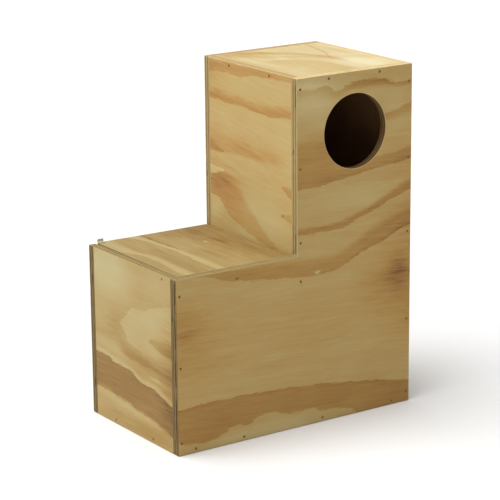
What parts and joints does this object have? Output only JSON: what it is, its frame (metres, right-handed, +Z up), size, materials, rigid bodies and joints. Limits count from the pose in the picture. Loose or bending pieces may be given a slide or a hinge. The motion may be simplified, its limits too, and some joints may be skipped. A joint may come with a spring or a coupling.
{
  "type": "nest box",
  "caption": "Boot-shaped plywood bird nest box: tall tower with a round entrance hole and a low nest chamber under a lid that swings up on pivot pins.",
  "frame": {"origin": "centre of the underside, on the surface that the box stands on", "axes": "+Z up; the toe points towards -X and the tower's back towards +X; the entrance hole faces -Y"},
  "size_m": [0.406, 0.232, 0.508],
  "materials": {
    "plywood": "raw sanded softwood plywood, no coating",
    "rung_pine": "raw sawn pine",
    "nail_steel": "dull, slightly tarnished",
    "tab_steel": "galvanised, matt"
  },
  "bodies": {
    "box": {"entrance_side_panel": "plywood", "plain_side_panel": "plywood", "toe_end_panel": "plywood", "riser_panel": "plywood", "back_panel": "plywood", "top_panel": "plywood", "floor_panel": "plywood", "toe_pivot_pin": "nail_steel", "riser_pivot_pin": "nail_steel", "climbing_rungs": "rung_pine", "rung_nails": "nail_steel", "side_to_riser_nails": "nail_steel", "side_to_back_nails": "nail_steel", "side_to_top_nails": "nail_steel", "side_to_toe_end_nails": "nail_steel", "side_to_floor_nails": "nail_steel", "toe_end_to_floor_nails": "nail_steel", "riser_to_top_nails": "nail_steel", "back_to_top_nails": "nail_steel", "back_to_floor_nails": "nail_steel"},
    "lid": {"inspection_lid": "plywood", "lift_tab": "tab_steel", "lift_tab_nail": "tab_steel"}
  },
  "joints": [
    {"name": "lid_pivot", "type": "hinge", "parent": "box", "child": "lid", "pos_m": [0, -0.081, 0.248], "axis": [1, 0, 0], "range_deg": [0, 150]}
  ]
}
